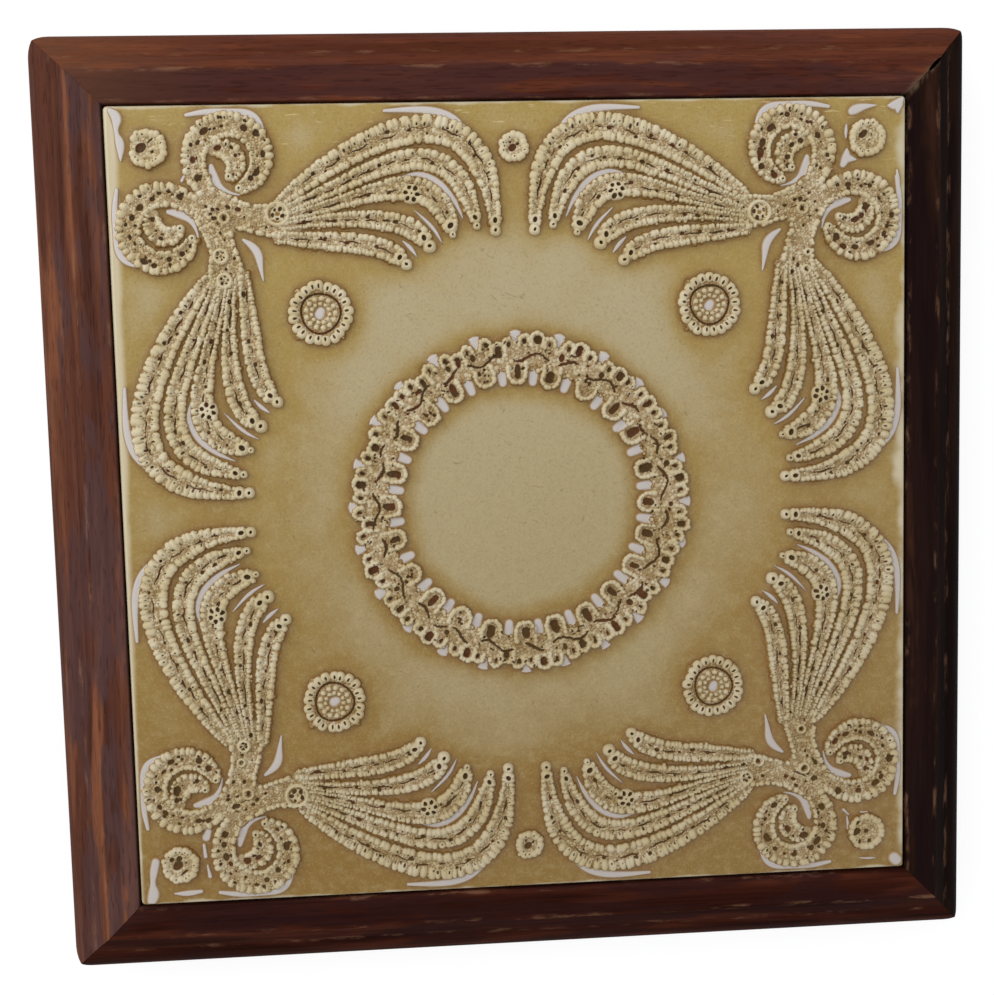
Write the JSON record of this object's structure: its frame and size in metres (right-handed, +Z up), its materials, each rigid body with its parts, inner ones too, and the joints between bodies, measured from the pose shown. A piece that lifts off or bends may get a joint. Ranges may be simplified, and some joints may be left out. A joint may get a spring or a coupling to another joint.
{
  "type": "trivet",
  "caption": "Square trivet: a glazed tile with raised lace-like ornament, set in a mitred dark wooden frame on small round pads.",
  "frame": {"origin": "middle of the underside, on the surface that the pads stand on", "axes": "+Z up, through the tile's face; +Y towards the back rail; +X to the right"},
  "size_m": [0.1824, 0.1824, 0.018],
  "materials": {
    "frame_wood": "satin",
    "hardboard": "matte",
    "steel": "satin",
    "adhesive": "matte",
    "tile_glaze": "gloss",
    "relief_glaze": "gloss",
    "pad": "matte"
  },
  "bodies": {
    "root": {"rail_front": "frame_wood", "rail_back": "frame_wood", "rail_left": "frame_wood", "rail_right": "frame_wood", "corner_wedges": "steel", "base_panel": "hardboard", "panel_pins": "steel", "adhesive_dabs": "adhesive", "tile": "tile_glaze", "foot_front_left": "pad", "foot_front_right": "pad", "foot_back_left": "pad", "foot_back_right": "pad", "wreath": "relief_glaze", "hub_front_left": "relief_glaze", "hub_front_right": "relief_glaze", "hub_back_left": "relief_glaze", "hub_back_right": "relief_glaze", "plume_x_front_left": "relief_glaze", "plume_x_front_right": "relief_glaze", "plume_x_back_left": "relief_glaze", "plume_x_back_right": "relief_glaze", "plume_y_front_left": "relief_glaze", "plume_y_front_right": "relief_glaze", "plume_y_back_left": "relief_glaze", "plume_y_back_right": "relief_glaze", "curl_x_front_left": "relief_glaze", "curl_x_front_right": "relief_glaze", "curl_x_back_left": "relief_glaze", "curl_x_back_right": "relief_glaze", "curl_y_front_left": "relief_glaze", "curl_y_front_right": "relief_glaze", "curl_y_back_left": "relief_glaze", "curl_y_back_right": "relief_glaze", "rosette_front_left": "relief_glaze", "rosette_front_right": "relief_glaze", "rosette_back_left": "relief_glaze", "rosette_back_right": "relief_glaze", "corner_rosette_front_left": "relief_glaze", "corner_rosette_front_right": "relief_glaze", "corner_rosette_back_left": "relief_glaze", "corner_rosette_back_right": "relief_glaze", "edge_rosette_front": "relief_glaze", "edge_rosette_back": "relief_glaze"}
  },
  "joints": []
}
